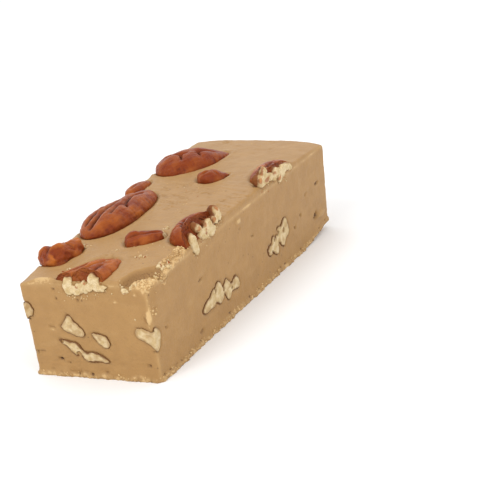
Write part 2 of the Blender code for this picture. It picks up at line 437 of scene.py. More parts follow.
KERNELS = {
    "kernel_corner_left": Kernel(
        "front",
        [(0, 1.0, 4.7), (0.9, 0.2, 4.7), (1.9, 0, 4.1), (2.9, 0.6, 3.6), (3.5, 1.8, 2.6)],
        overhang=0.9, depth=1.0, rim=0.2, tan=0.45,
    ),
    "kernel_front_upper": Kernel(
        "front",
        [
            (0, 2.9, 3.4), (1.0, 2.2, 4.3), (1.7, 1.2, 4.7), (2.4, 0.1, 5.0), (3.2, 0.3, 5.3),
            (4.2, 1.7, 5.7), (5.2, 2.7, 5.9), (6.0, 3.5, 5.9), (6.7, 4.5, 5.6),
        ],
        rim=0.15, tan=0.12,
    ),
    "kernel_front_small": Kernel(
        "front",
        [
            (0, 0.2, 0.8), (0.8, 0, 2.2), (1.8, 0.1, 3.3), (2.8, 0.4, 4.1), (3.8, 0.7, 4.5), (4.5, 1.2, 4.3),
            (4.9, 2.6, 3.5),
        ],
        rim=0.16, tan=0.20, slim=0.88,
    ),
    "kernel_front_long": Kernel(
        "front",
        [
            (0, 0.1, 0.8), (1.0, 0, 1.7), (2.0, 0.1, 2.4), (3.0, 0.1, 3.7), (4.0, 0.3, 4.9), (4.9, 0.2, 5.2),
            (5.7, 1.0, 4.6), (6.4, 2.3, 5.6), (7.5, 3.0, 6.3), (8.6, 2.9, 6.6), (10, 3.1, 6.4),
            (11.6, 3.6, 6.2), (12.8, 4.3, 6.5), (13.8, 5.4, 6.2),
        ],
        gaps=((5.3, 3.9, 0.9), (1.0, 0.9, 0.5)), rim=0.36, slim=0.78,
    ),
    "kernel_corner_right": Kernel(
        "front",
        [
            (0, 0.8, 2.4), (0.7, 0.2, 3.0), (1.7, 0.1, 3.3), (2.7, 0.4, 3.8), (3.7, 0.8, 4.5),
            (4.5, 1.0, 5.4), (5.3, 0.6, 6.2), (6.1, 0, 6.4), (7.2, 0.6, 5.4), (8.4, 1.8, 3.4),
        ],
        depth=1.0, rim=0.04, tan=0.12,
    ),
    "kernel_right_near": Kernel(
        "right",
        [
            (0, 4.9, 5.8), (2.0, 3.4, 6.7), (4.5, 2.4, 6.7), (6.2, 1.3, 6.9), (7.3, 1.3, 6.2),
            (8.3, 0.2, 6.9), (9.2, 0, 7.6), (10.7, 0.9, 7.3), (11.6, 2.7, 6.5), (12.4, 2.3, 5.6),
            (14.0, 1.2, 8.4), (15.2, 2.4, 8.0), (16.4, 3.7, 6.8), (18.8, 2.6, 7.1), (20.4, 3.5, 7.3),
            (21.3, 5.4, 6.2),
        ],
        gaps=((7.5, 2.6, 0.6), (12.0, 4.0, 0.7), (10.9, 6.7, 0.5), (16.4, 5.2, 0.45)), slim=0.86,
    ),
    "kernel_right_far": Kernel(
        "right",
        [
            (0, 5.6, 6.8), (1.4, 4.8, 8.8), (2.7, 4.6, 8.7), (3.4, 3.0, 8.6), (4.4, 2.6, 9.4),
            (6.0, 3.6, 10.2), (7.0, 1.8, 10.1), (8.0, 1.4, 7.8), (9.6, 1.6, 9.1), (11.0, 0.5, 9.8),
            (12.3, 0, 8.2), (13.7, 1.2, 7.3), (14.8, 4.6, 6.4),
        ],
        gaps=((7.6, 7.1, 0.9), (7.4, 3.6, 0.9), (11.2, 4.2, 0.8), (4.9, 4.6, 0.6), (3.2, 7.6, 0.5)),
        slim=0.80,
    ),
    "kernel_left_near": Kernel("left", lobed(14.6, 7.8, -3.6, 3, 0.6), gaps=((7.0, 3.6, 0.6),)),
    "kernel_left_middle": Kernel("left", lobed(8.4, 6.1, 3.0, 2, 1.4)),
    "kernel_left_far": Kernel("left", lobed(11.9, 5.9, 1.8, 2, 2.2), gaps=((5.4, 2.6, 0.5),)),
    "kernel_back_low": Kernel("back", lobed(12.6, 7.0, 3.0, 3, 0.2), gaps=((6.2, 3.4, 0.6),)),
    "kernel_back_high": Kernel("back", lobed(6.5, 5.2, -2.6, 1, 1.0)),
}
END_ROUND = 0.9


def edges_at(outline, run, slim):
    """The upper and lower edge of an outline at this run, on smooth curves through its points."""
    last = len(outline) - 1
    index = max(0, sum(1 for point in outline[1:last] if point[0] <= run))
    stretch = outline[index + 1][0] - outline[index][0]
    share = min(1.0, max(0.0, (run - outline[index][0]) / stretch))
    edges = []
    for edge in (1, 2):
        slopes = []
        for at in (index, index + 1):
            before, after = outline[max(0, at - 1)], outline[min(last, at + 1)]
            slopes.append((after[edge] - before[edge]) / (after[0] - before[0]) * stretch)
        start, end = outline[index][edge], outline[index + 1][edge]
        bend = 3 * (end - start) - 2 * slopes[0] - slopes[1]
        twist = slopes[0] + slopes[1] - 2 * (end - start)
        edges.append(start + share * (slopes[0] + share * (bend + share * twist)))
    length = outline[-1][0]
    to_end = min(run, length - run)
    shrink = math.sqrt(max(0.0, 1 - max(0.0, 1 - to_end / END_ROUND) ** 2))
    middle, half = (edges[0] + edges[1]) / 2, (edges[1] - edges[0]) / 2 * shrink * slim
    return middle - half, middle + half


for kernel_name, kernel in KERNELS.items():
    kernel.start = start_on_belt(kernel_name, kernel.wall) - kernel.overhang
    kernel.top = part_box(kernel_name)[1].z / MM
    kernel.length = kernel.outline[-1][0]
    bm = bmesh.new()
    bmesh.ops.create_grid(bm, x_segments=int(kernel.length / 0.12), y_segments=26, size=0.5)
    runs, heights = bm.verts.layers.float.new("run"), bm.verts.layers.float.new("height")
    for vertex in bm.verts:
        vertex[runs] = (vertex.co.x + 0.5) * kernel.length
        upper, lower = edges_at(kernel.outline, vertex[runs], kernel.slim)
        drop = lower + (upper - lower) * (vertex.co.y + 0.5)
        at = (vertex[runs], drop, 0)
        ragged = 0.16 * rough(at, 0.9, 3.0) + 0.10 * rough(at, 0.35, 3.5)
        vertex[heights] = kernel.top - drop + ragged
        vertex.co = on_wall(kernel.start + vertex[runs], vertex[heights])
    bmesh.ops.remove_doubles(bm, verts=bm.verts, dist=0.02)
    rim = [edge for edge in bm.edges if edge.is_boundary]
    nearest = nearest_of([vertex.co.copy() for vertex in {vertex for edge in rim for vertex in edge.verts}])
    skin, fold = bm.verts.layers.float.new("skin"), bm.verts.layers.float.new("fold")
    for vertex in bm.verts:
        inside = nearest.find(vertex.co)[2]
        width = max(0.02, kernel.rim * (1 + 1.3 * rough(vertex.co, 1.3, 5.0)))
        # painted shade: each gap is sunk and painted dark
        gap = 0.0
        for run, drop, radius in kernel.gaps:
            away = math.hypot(vertex[runs] - run, kernel.top - vertex[heights] - drop)
            gap = max(gap, 1 - ease(away + 0.25 * rough(vertex.co, 0.7), radius * 0.45, radius))
        vertex[skin] = max(1 - ease(inside, width * 0.5, width * 1.4), gap)
        # painted shade: the flesh is tan towards the rim
        tan = 0.7 * (1 - ease(inside + 0.5 * rough(vertex.co, 1.1, 6.0), 0.2, 0.9))
        tan = max(tan, kernel.tan + 0.5 * ease(rough(vertex.co, 1.5, 8.0), 0.0, 0.6))
        vertex[fold] = max(gap, min(0.85, tan) * (1 - vertex[skin]))
        relief = 0.10 * rough(vertex.co, 1.5, 1.0) + 0.05 * rough(vertex.co, 0.5, 2.0)
        out = unevenness(vertex.co) + 0.11 + relief - 0.18 * (1 - ease(inside, 0.0, 0.5)) - 0.9 * gap
        vertex.co = on_wall(kernel.start + vertex[runs], vertex[heights], out)
    grown = bmesh.ops.extrude_edge_only(bm, edges=rim)["geom"]
    for vertex in (item for item in grown if isinstance(item, bmesh.types.BMVert)):
        vertex.co = on_wall(kernel.start + vertex[runs], vertex[heights], -kernel.depth)
    bmesh.ops.holes_fill(bm, edges=[edge for edge in bm.edges if edge.is_boundary], sides=0)
    finish_piece(f"cut_{kernel_name}", bm, KERNEL_FINISH, "pecan_kernel", kernel_name)


# Pecan halves and broken pieces on the top. Each was pressed into the warm fudge with its furrowed back up. A
# fold is a line of (share along it from front tip to back tip, share across rightwards), a width and a depth.
@dataclass
class Nut:
    size: tuple  # length, width, height above its rim
    yaw: float
    folds: list
    roll: float = 0.0
    blunt: float = 0.0
    belly: float = 0.5
    cut_wall: str = ""
    segments: tuple = (150, 130)
    lumps: float = 0.22
    orange: float = 0.3
    taper: float = 0.12  # how much narrower the back end is
    point: float = 0.0  # how sharply the back end comes to a point
    bare_from: float = 2.0  # beyond this share of its length its flesh shows


NUTS = {
    "pecan_half_mid_left": Nut(
        (33, 13.5, 5.0),
        -3,
        [
            ([(-0.95, 0.0), (-0.4, -0.08), (0.1, -0.18), (0.85, -0.22)], 0.85, 3.0),
            ([(-0.85, -0.32), (-0.3, -0.5), (0.45, -0.55)], 0.7, 1.8),
            ([(-0.15, 0.66), (0.0, 0.36), (0.3, 0.2), (0.65, 0.3)], 0.6, 1.8),
            ([(-0.55, 0.42), (-0.2, 0.3), (0.0, 0.36)], 0.5, 1.0),
            ([(-0.6, -0.86), (0.5, -0.86)], 0.5, 0.8),
        ],
        roll=-4, orange=0.22,
    ),
    "pecan_half_back_left": Nut(
        (24, 14.0, 4.6),
        -38,
        [
            ([(-0.5, -0.25), (-0.36, 0.1), (-0.45, 0.5)], 0.4, 1.7),
            ([(-0.40, 0.05), (-0.2, 0.12), (-0.1, 0.0)], 0.35, 0.8),
            ([(0.05, 0.62), (0.08, 0.2), (0.35, 0.1), (0.55, 0.2)], 0.4, 1.5),
            ([(0.08, 0.2), (-0.1, 0.35)], 0.3, 0.6),
            ([(-0.8, -0.35), (-0.1, -0.55), (0.7, -0.3)], 0.5, 1.0),
        ],
        orange=0.05, taper=0.2, point=0.9,
    ),
    "pecan_piece_front_left": Nut(
        (12, 9.0, 4.4),
        -18,
        [
            ([(-0.9, 0.1), (-0.3, -0.1), (0.1, 0.1), (0.9, 0.0)], 0.5, 1.9),
            ([(-0.2, -0.9), (-0.05, -0.3), (-0.3, -0.1)], 0.45, 1.6),
            ([(0.1, 0.1), (0.3, 0.9)], 0.4, 1.2),
            ([(0.5, -0.8), (0.35, -0.2)], 0.35, 0.9),
        ],
        roll=-6, blunt=0.7, belly=0.6, segments=(110, 96), lumps=1.3, orange=0.5,
    ),
    "pecan_piece_centre": Nut(
        (11, 5.8, 3.0),
        -56,
        [([(-0.9, 0.4), (0.1, 0.25), (0.8, 0.35)], 0.4, 0.9), ([(-0.3, -0.7), (-0.2, 0.2)], 0.3, 0.4)],
        blunt=0.8, belly=0.7, segments=(80, 80), lumps=0.55, orange=-0.3, bare_from=0.80,
    ),
    "pecan_piece_back": Nut(
        (9.5, 6.4, 2.6),
        -44,
        [([(-0.5, -0.9), (-0.1, -0.1), (0.2, 0.8)], 0.4, 0.7), ([(-0.9, 0.2), (-0.2, 0.1)], 0.35, 0.6)],
        blunt=0.5, belly=0.7, segments=(80, 70), lumps=0.5, orange=0.05, taper=0.25, point=0.9,
    ),
    "pecan_sliver_left": Nut(
        (11, 5.0, 2.0),
        -4,
        [([(-0.8, 0.1), (0.8, 0.1)], 0.4, 0.7)],
        roll=-10, blunt=0.4, belly=0.7, segments=(70, 60),
    ),
    "pecan_cut_mid_right": Nut(
        (19, 14.6, 5.3),
        8,
        [
            ([(0.85, 0.1), (0.55, -0.35), (0.0, -0.62), (-0.5, -0.5), (-0.85, -0.1)], 0.45, 1.3),
            ([(0.65, 0.4), (0.35, -0.1), (-0.1, -0.3), (-0.45, -0.12), (-0.65, 0.3)], 0.5, 2.2),
            ([(0.3, 0.6), (0.15, 0.1), (-0.1, 0.0), (-0.3, 0.4)], 0.5, 1.8),
            ([(-0.3, -1.0), (-0.28, -0.6), (-0.2, -0.25)], 0.3, 0.7),
            ([(-0.55, -0.95), (-0.5, -0.5)], 0.25, 0.5),
            ([(0.4, -0.95), (0.35, -0.5)], 0.3, 0.5),
        ],
        roll=4, blunt=0.2, belly=0.7, cut_wall="right", segments=(128, 96), orange=0.12,
    ),
    "pecan_cut_back_right": Nut(
        (19, 10.0, 3.2),
        8,
        [
            ([(-0.9, -0.3), (-0.2, -0.35), (0.6, -0.2)], 0.45, 1.2),
            ([(-0.3, 0.1), (0.1, -0.3)], 0.4, 0.9),
            ([(0.3, 0.3), (0.35, -0.3)], 0.4, 0.9),
        ],
        roll=6, blunt=0.2, belly=0.4, cut_wall="right", segments=(110, 90), lumps=0.35, orange=0.35,
    ),
    "pecan_cut_front": Nut(
        (25, 13.0, 3.8),
        -12,
        [
            ([(-1.0, -0.24), (0.2, -0.26), (0.85, -0.1)], 1.2, 4.2),
            ([(-0.6, 0.4), (0.0, 0.45), (0.45, 0.3)], 0.6, 1.4),
            ([(-0.1, -0.2), (0.15, 0.35)], 0.4, 0.6),
            ([(-0.5, -0.68), (0.5, -0.62)], 0.6, 1.1),
            ([(0.4, -0.1), (0.55, 0.6)], 0.4, 0.6),
        ],
        blunt=0.1, belly=0.6, cut_wall="front", segments=(120, 96), orange=0.5,
    ),
}
CUT_INSET = 0.35  # the flesh stands this far in front of the skin's cut edge


def from_line(x, y, points):
    """The distance from a point to a line through points."""
    here = Vector((x, y))
    best = 1e9
    for start, end in zip(points, points[1:]):
        run = end - start
        share = min(1.0, max(0.0, (here - start).dot(run) / run.length_squared))
        best = min(best, (here - start - run * share).length)
    return best


def from_ends(x, y, points):
    """The distance from a point to the nearer end of a line."""
    here = Vector((x, y))
    return min((here - points[0]).length, (here - points[-1]).length)


def frame_of_nut(name, nut):
    """Where a nut's rim has its middle, from its node's box: a cut nut's box ends at the wall."""
    low, high = (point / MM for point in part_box(name))
    length, width, height = nut.size
    turn = math.radians(nut.yaw)
    reach_x = math.hypot(length / 2 * math.sin(turn), width / 2 * math.cos(turn))
    reach_y = math.hypot(length / 2 * math.cos(turn), width / 2 * math.sin(turn))
    middle = (low + high) / 2
    if nut.cut_wall == "right":
        middle.x = low.x + reach_x
    if nut.cut_wall == "front":
        middle.y = high.y - reach_y
    middle.z = low.z + nut.belly * height
    rolled = Matrix.Rotation(math.radians(nut.roll), 4, "Y")
    return Matrix.Translation(middle) @ Matrix.Rotation(turn, 4, "Z") @ rolled


for nut_name, nut in NUTS.items():
    nut.frame = frame_of_nut(nut_name, nut)
    length, width, height = nut.size
    lines = [
        ([Vector((side * width / 2, share * length / 2)) for share, side in points], *form)
        for points, *form in nut.folds
    ]
    bm = bmesh.new()
    bmesh.ops.create_uvsphere(bm, u_segments=nut.segments[0], v_segments=nut.segments[1], radius=1.0)
    bmesh.ops.rotate(bm, cent=(0, 0, 0), matrix=Matrix.Rotation(math.radians(90), 3, "X"), verts=bm.verts)
    skin, fold = bm.verts.layers.float.new("skin"), bm.verts.layers.float.new("fold")
    orange = bm.verts.layers.float.new("orange")
    seed = length + width
    for vertex in bm.verts:
        share = vertex.co.y
        ring = math.sqrt(max(1e-9, 1 - share * share))
        side, up = vertex.co.x / ring, vertex.co.z / ring
        pointed = math.sqrt(max(0.0, 1 - abs(share) ** 2.4))
        square = max(0.0, 1 - abs(share) ** 7) ** 0.6
        girth = (pointed + (square - pointed) * nut.blunt) * (1 - nut.taper * share)
        sharp = 1 - abs(share) ** 1.4
        girth += (sharp - girth) * nut.point * ease(share, 0.0, 0.5)
        x, y = side * girth * width / 2, share * length / 2
        z = up * girth * height * (1.0 if up > 0 else nut.belly)
        dip, dark = 0.0, 0.0
        for points, line_width, depth in lines:
            wander = 0.35 * rough((x, y, z), 2.0, seed)
            away = abs(from_line(x, y, points) + wander * 0.5)
            ends = ease(from_ends(x, y, points), 0.0, 1.6)
            dip += depth * (0.35 + 0.65 * ends) * math.exp(-away / line_width)
            dark = max(dark, math.exp(-((away / (line_width * 0.55)) ** 2)) * min(1.0, depth * 0.6) * ends)
        top_side = ease(up, 0.0, 0.35) * girth
        lumps = nut.lumps * rough((x, y * 0.6, z), 3.0, seed)
        lumps += 0.35 * nut.lumps * rough((x, y * 0.6, z), 1.2, seed)
        streaks = 0.09 * rough((x * 1.2, y * 0.25, z * 1.2), 0.8, seed) + 0.05 * rough((x, y, z), 0.4, seed)
        cross = 0.14 * rough((x * 0.4, y * 1.4, z * 0.4), 1.1, seed + 2) * ease(abs(side), 0.45, 0.95)
        wrinkles = streaks + cross
        outward = Vector((side, 0.3 * share, up)).normalized() * (lumps + wrinkles) * min(1.0, girth * 2)
        vertex.co = Vector((x, y, z - dip * top_side)) + outward
        ragged = share + 0.12 * rough((x, y, z), 1.0, seed)
        vertex[skin] = 1 - ease(ragged, nut.bare_from, nut.bare_from + 0.04)
        under = 0.45 * (1 - ease(up, -0.1, 0.3))
        # painted shade: darker along the deep folds, in the wrinkles' hollows and on the underside
        vertex[fold] = min(1.0, dark * top_side + 0.35 * ease(-wrinkles, 0.02, 0.16) + under)
        # the orange tone varies per nut and at random, and is raised on the lumps as a painted highlight
        vertex[orange] = nut.orange + 0.55 * rough((x, y, z), 3.4, seed + 4) + 1.5 * (lumps + wrinkles)
    bmesh.ops.transform(bm, matrix=nut.frame, verts=bm.verts)
    for vertex in bm.verts if nut.cut_wall else ():
        over_rim = vertex.co.z - nut.frame.translation.z
        ragged = CUT_INSET + 0.5 * abs(over_rim)
        ragged += 0.3 * rough(vertex.co, 0.9, 7.0) * ease(over_rim, -1.0, 0.0)
        if nut.cut_wall == "front":
            beyond = -LENGTH / 2 + ragged - vertex.co.y
            vertex.co.y += max(0.0, beyond)
        else:
            along = (vertex.co.y + LENGTH / 2) / LENGTH
            wall = in_slice(1.0, along, vertex.co.z / in_slice(1.0, along, 1.0).z)
            beyond = vertex.co.x - wall.x + ragged
            vertex.co.x -= max(0.0, beyond)
        # painted shade where the skin is pressed flat behind the cut, so that it reads as rounding away
        vertex[fold] = max(vertex[fold], 0.35 * ease(beyond, -0.1, 0.1))
    finish_piece(f"skin_of_{nut_name}", bm, SKIN_FINISH, "pecan_skin", nut_name)


# Cut flesh of the three halves that the knife met at the walls. The flesh crumbles into lobes there, with
# brown skin in the gaps between them, painted darker the deeper it lies, as shade. A lobe is its run along the
# wall and its drop from the wall's top edge, its two radii along and down the wall, and how far it stands back
# from the wall.
FLESH_LOBES = {
    "pecan_cut_mid_right": [
        (24.1, 0.4, 1.4, 2.6, 0.0), (25.2, 2.3, 1.1, 1.4, 0.0), (27.8, -2.0, 1.2, 1.5, 0.9),
        (29.0, 0.0, 1.5, 1.6, 0.2), (30.8, 0.5, 1.6, 1.4, 0.0), (32.4, -0.6, 1.8, 1.8, 0.0),
        (34.0, 0.9, 1.6, 1.6, 0.0), (36.2, -1.0, 1.2, 1.3, 0.2), (37.4, -2.4, 1.2, 1.8, 0.4),
        (38.4, -1.0, 1.1, 1.1, 0.3),
    ],
    "pecan_cut_back_right": [
        (63.8, -1.3, 1.3, 2.0, 0.2), (65.4, -2.0, 1.6, 2.6, 0.0), (66.9, -0.9, 1.3, 1.8, 0.0),
        (69.4, -0.6, 1.5, 1.1, 0.3), (71.4, 0.1, 1.4, 1.1, 0.2), (73.2, -0.8, 1.6, 1.2, 0.3),
        (74.8, 0.7, 1.4, 2.0, 0.0), (76.8, 0.0, 1.4, 2.0, 0.0), (79.2, -0.2, 1.6, 1.3, 0.3),
        (81.2, 0.5, 1.4, 1.3, 0.2),
    ],
    "pecan_cut_front": [
        (13.9, -0.5, 1.5, 1.8, 0.1), (14.6, 0.9, 1.9, 1.4, 0.0), (17.2, 0.5, 1.4, 1.6, 0.4),
        (18.6, 0.1, 1.3, 1.8, 0.5), (20.9, -1.3, 1.1, 1.5, 0.2), (21.6, -0.2, 1.5, 1.6, 0.0),
        (22.8, 0.9, 1.9, 1.0, 0.0), (16.0, 1.6, 1.4, 0.7, 0.1), (19.9, 0.9, 1.3, 1.2, 0.3),
    ],
}
LOBE_DEPTH = 1.8
PROUD = 0.40


def top_edge(run):
    """The height of the top edge of the walls, run millimetres round them."""
    on_top = on_wall(run, 1.0)
    across = (on_top.x + 20.0) / 40.0
    along = (on_top.y + LENGTH / 2) / LENGTH
    across = min(1.0, max(0.0, round(across) if 0 < along < 1 else across))
    return in_slice(across, along, 1.0).z + swell(across, along)


def depth_in(point, wall):
    """How far a point stands in front of a wall: less than 0 inside the slice."""
    if wall == "front":
        return -LENGTH / 2 - point.y
    along = (point.y + LENGTH / 2) / LENGTH
    return point.x - in_slice(1.0, along, point.z / in_slice(1.0, along, 1.0).z).x


def remeshed(name, bm, voxel):
    """The joined lumps of a bmesh as one closed skin."""
    mesh = bpy.data.meshes.new(name)
    bm.to_mesh(mesh)
    bm.free()
    lumps = bpy.data.objects.new(name, mesh)
    bpy.context.scene.collection.objects.link(lumps)
    merged = lumps.modifiers.new("merge", "REMESH")
    merged.mode = "VOXEL"
    merged.voxel_size = voxel
    shell = bpy.data.meshes.new_from_object(lumps.evaluated_get(bpy.context.evaluated_depsgraph_get()))
    bpy.data.objects.remove(lumps)
    joined = bmesh.new()
    joined.from_mesh(shell)
    bpy.data.meshes.remove(shell)
    return joined


for nut_name, lobes in FLESH_LOBES.items():
    wall = NUTS[nut_name].cut_wall
    bm = bmesh.new()
    for run, drop, half_run, half_drop, back in lobes:
        lobe = bmesh.ops.create_icosphere(bm, subdivisions=4, radius=1.0)["verts"]
        at = BELT_START[wall] + run
        middle = on_wall(at, top_edge(at) - drop, PROUD - back - LOBE_DEPTH * 0.6)
        stretch = (half_run, LOBE_DEPTH, half_drop) if wall == "front" else (LOBE_DEPTH, half_run, half_drop)
        for vertex in lobe:
            bulge = 1 + 0.32 * rough(vertex.co * half_run + middle, 1.3, 9.0)
            vertex.co = middle + Vector([share * size * bulge for share, size in zip(vertex.co, stretch)])
    bm = remeshed(f"{nut_name}_flesh", bm, 0.14)
    skin, fold = bm.verts.layers.float.new("skin"), bm.verts.layers.float.new("fold")
    for vertex in bm.verts:
        crumbly = 0.22 * rough(vertex.co, 0.9, 11.0) + 0.14 * rough(vertex.co, 0.45, 12.0)
        vertex.co += Vector((crumbly, crumbly, crumbly)) * 0.6
        over = depth_in(vertex.co, wall) - (PROUD * 0.5 + crumbly)
        if over > 0:
            shift = Vector((0, over, 0)) if wall == "front" else Vector((-over, 0, 0))
            vertex.co += shift * 0.85
        depth = -depth_in(vertex.co, wall)
        high = ease(vertex.co.z, 27.5, 30.0)
        flecks = 0.7 * ease(rough(vertex.co, 1.6, 15.0) + 0.3 * high, 0.40, 0.55)
        vertex[skin] = max(flecks, 0.9 * ease(depth + 0.4 * rough(vertex.co, 1.0, 13.0), 0.55, 0.9))
        # painted shade: darker the deeper behind the wall
        vertex[fold] = 0.6 * ease(depth + 0.4 * rough(vertex.co, 0.7, 14.0), 0.0, 0.5)
    finish_piece(f"{nut_name}_flesh", bm, FLESH_FINISH, "pecan_kernel")


# The fudge is one slice, matt and close-grained, with slits and pits where the knife dragged grains from its
# walls, a crushed front right corner and a crumbling ledge behind. It draws back a hair from every nut, where
# the nuts' oil darkens it in a soft halo and painted shade darkens a thin line next to each nut. Its cracks,
# slits, pits, pores and chip valley are painted darker as shade, and it is painted a shade darker towards its
# base. It lies on a flat base.
GRID_STEP = 0.37
EDGE_ROUND = 0.6
TOP_SINK = 0.9
FRONT_RIGHT = Vector((16.8, -LENGTH / 2))
CHIP_REACH = Vector((8.1, 10.0))  # how far across and along a chip broke off the top's front right corner
CHIP_DEPTH = 2.1
LEDGE_END = 22.0
WORN_CORNER = Vector((20.0, LENGTH / 2))
CREST_RUN = 7.0  # the top's front edge stands up in a crest here


@dataclass
class Mark:
    """A pit or slit in a wall: its middle, its length and height, its depth, lean, the darkness of the painted
    shade in it and its pale lip.
    """

    wall: str
    run: float
    drop: float
    long: float
    tall: float
    depth: float
    lean: float = 0.0
    dark: float = 0.6
    light: float = 0.0


MARKS = [
    Mark(wall, *form)
    for wall, forms in {
        "front": [
            (7.6, 20.2, 0.8, 0.5, 0.9, -20, 0.9), (7.0, 11.5, 1.2, 0.4, 0.5, -10, 0.4, 0.6),
            (9.7, 1.2, 0.5, 0.4, 0.5, 0, 0.6), (9.8, 3.7, 0.5, 0.4, 0.5, 0, 0.6),
            (15.9, 4.0, 0.5, 0.35, 0.4, 0, 0.5), (33.3, 21.1, 0.6, 0.4, 0.5, 0, 0.6),
            (16.2, 24.0, 0.7, 0.5, 0.5, 0, 0.7), (0.6, 18.6, 0.8, 0.6, 0.8, 20, 0.6),
            (2.4, 18.2, 0.9, 0.4, 0.4, 10, 0.5), (9.8, 21.2, 0.5, 0.4, 0.4, 0, 0.6),
            (20.6, 23.4, 0.6, 0.4, 0.4, 0, 0.5), (34.2, 9.0, 0.35, 1.3, 0.45, 25, 0.4, 0.6),
            (35.3, 8.0, 0.9, 2.5, -0.3, -8, 0.0, 0.85), (12.3, 24.2, 0.5, 0.5, 0.4, 0, 0.6),
            (26.5, 4.2, 0.6, 0.4, -0.2, 0, 0.0, 0.7), (32.2, 2.2, 0.5, 0.4, -0.2, 0, 0.0, 0.7),
        ],
        "right": [
            (25.0, 9.0, 1.3, 0.4, 0.6, 12, 0.7, 0.5), (55.0, 9.0, 1.0, 0.35, 0.5, 20, 0.6, 0.4),
            (6.0, 13.3, 0.7, 0.4, 0.4, -15, 0.5), (90.0, 10.0, 1.2, 0.4, 0.4, 10, 0.3),
            (98.0, 9.5, 1.5, 0.5, 0.7, 8, 0.9, 0.4), (85.5, 14.8, 0.7, 0.5, 0.6, 0, 0.7),
            (81.5, 17.0, 0.7, 0.5, 0.6, 0, 0.7), (48.5, 4.3, 0.7, 0.35, 0.4, 0, 0.5),
            (48.0, 2.0, 1.6, 1.0, -0.3, 0, 0.0, 0.6), (26.0, 18.8, 1.0, 0.35, 0.5, 10, 0.6),
            (96.0, 19.0, 1.6, 1.2, 1.1, 30, 0.9), (99.5, 20.0, 3.4, 1.6, -0.5, 0, 0.0, 0.3),
            (22.5, 22.2, 1.6, 0.9, 0.4, 10, 0.5),
        ],
        "left": [
            (31.0, 8.0, 1.1, 0.4, 0.5, 10, 0.5), (58.0, 17.0, 0.8, 0.5, 0.6, 0, 0.6),
            (86.0, 7.0, 0.8, 0.4, 0.5, -10, 0.6),
        ],
        "back": [
            (11.0, 15.0, 0.9, 0.4, 0.5, 14, 0.6), (33.0, 19.0, 0.7, 0.5, 0.5, 0, 0.6),
        ],
    }.items()
    for form in forms
]

# Every place where the fudge meets a nut, so that it can draw back there, darken with the nuts' oil and take a
# thin line of painted shade.
nearest_nut = nearest_of(
    [
        vertex.co / MM
        for piece in list(bpy.context.scene.collection.objects)
        if piece.get("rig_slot") in ("pecan_skin", "pecan_kernel")
        for vertex in piece.data.vertices
    ]
)

bm = bmesh.new()
bmesh.ops.create_cube(bm, size=1.0)
bmesh.ops.translate(bm, vec=(0.5, 0.5, 0.5), verts=bm.verts)
bottom = [face for face in bm.faces if face.normal.z < -0.5]
bmesh.ops.delete(bm, geom=bottom, context="FACES_ONLY")
for axis in range(3):
    along_axis = [edge for edge in bm.edges if abs(edge.verts[0].co[axis] - edge.verts[1].co[axis]) > 0.01]
    bmesh.ops.subdivide_edges(bm, edges=along_axis, cuts=int(MEAN_SIZE[axis] / GRID_STEP), use_grid_fill=True)
bm.normal_update()

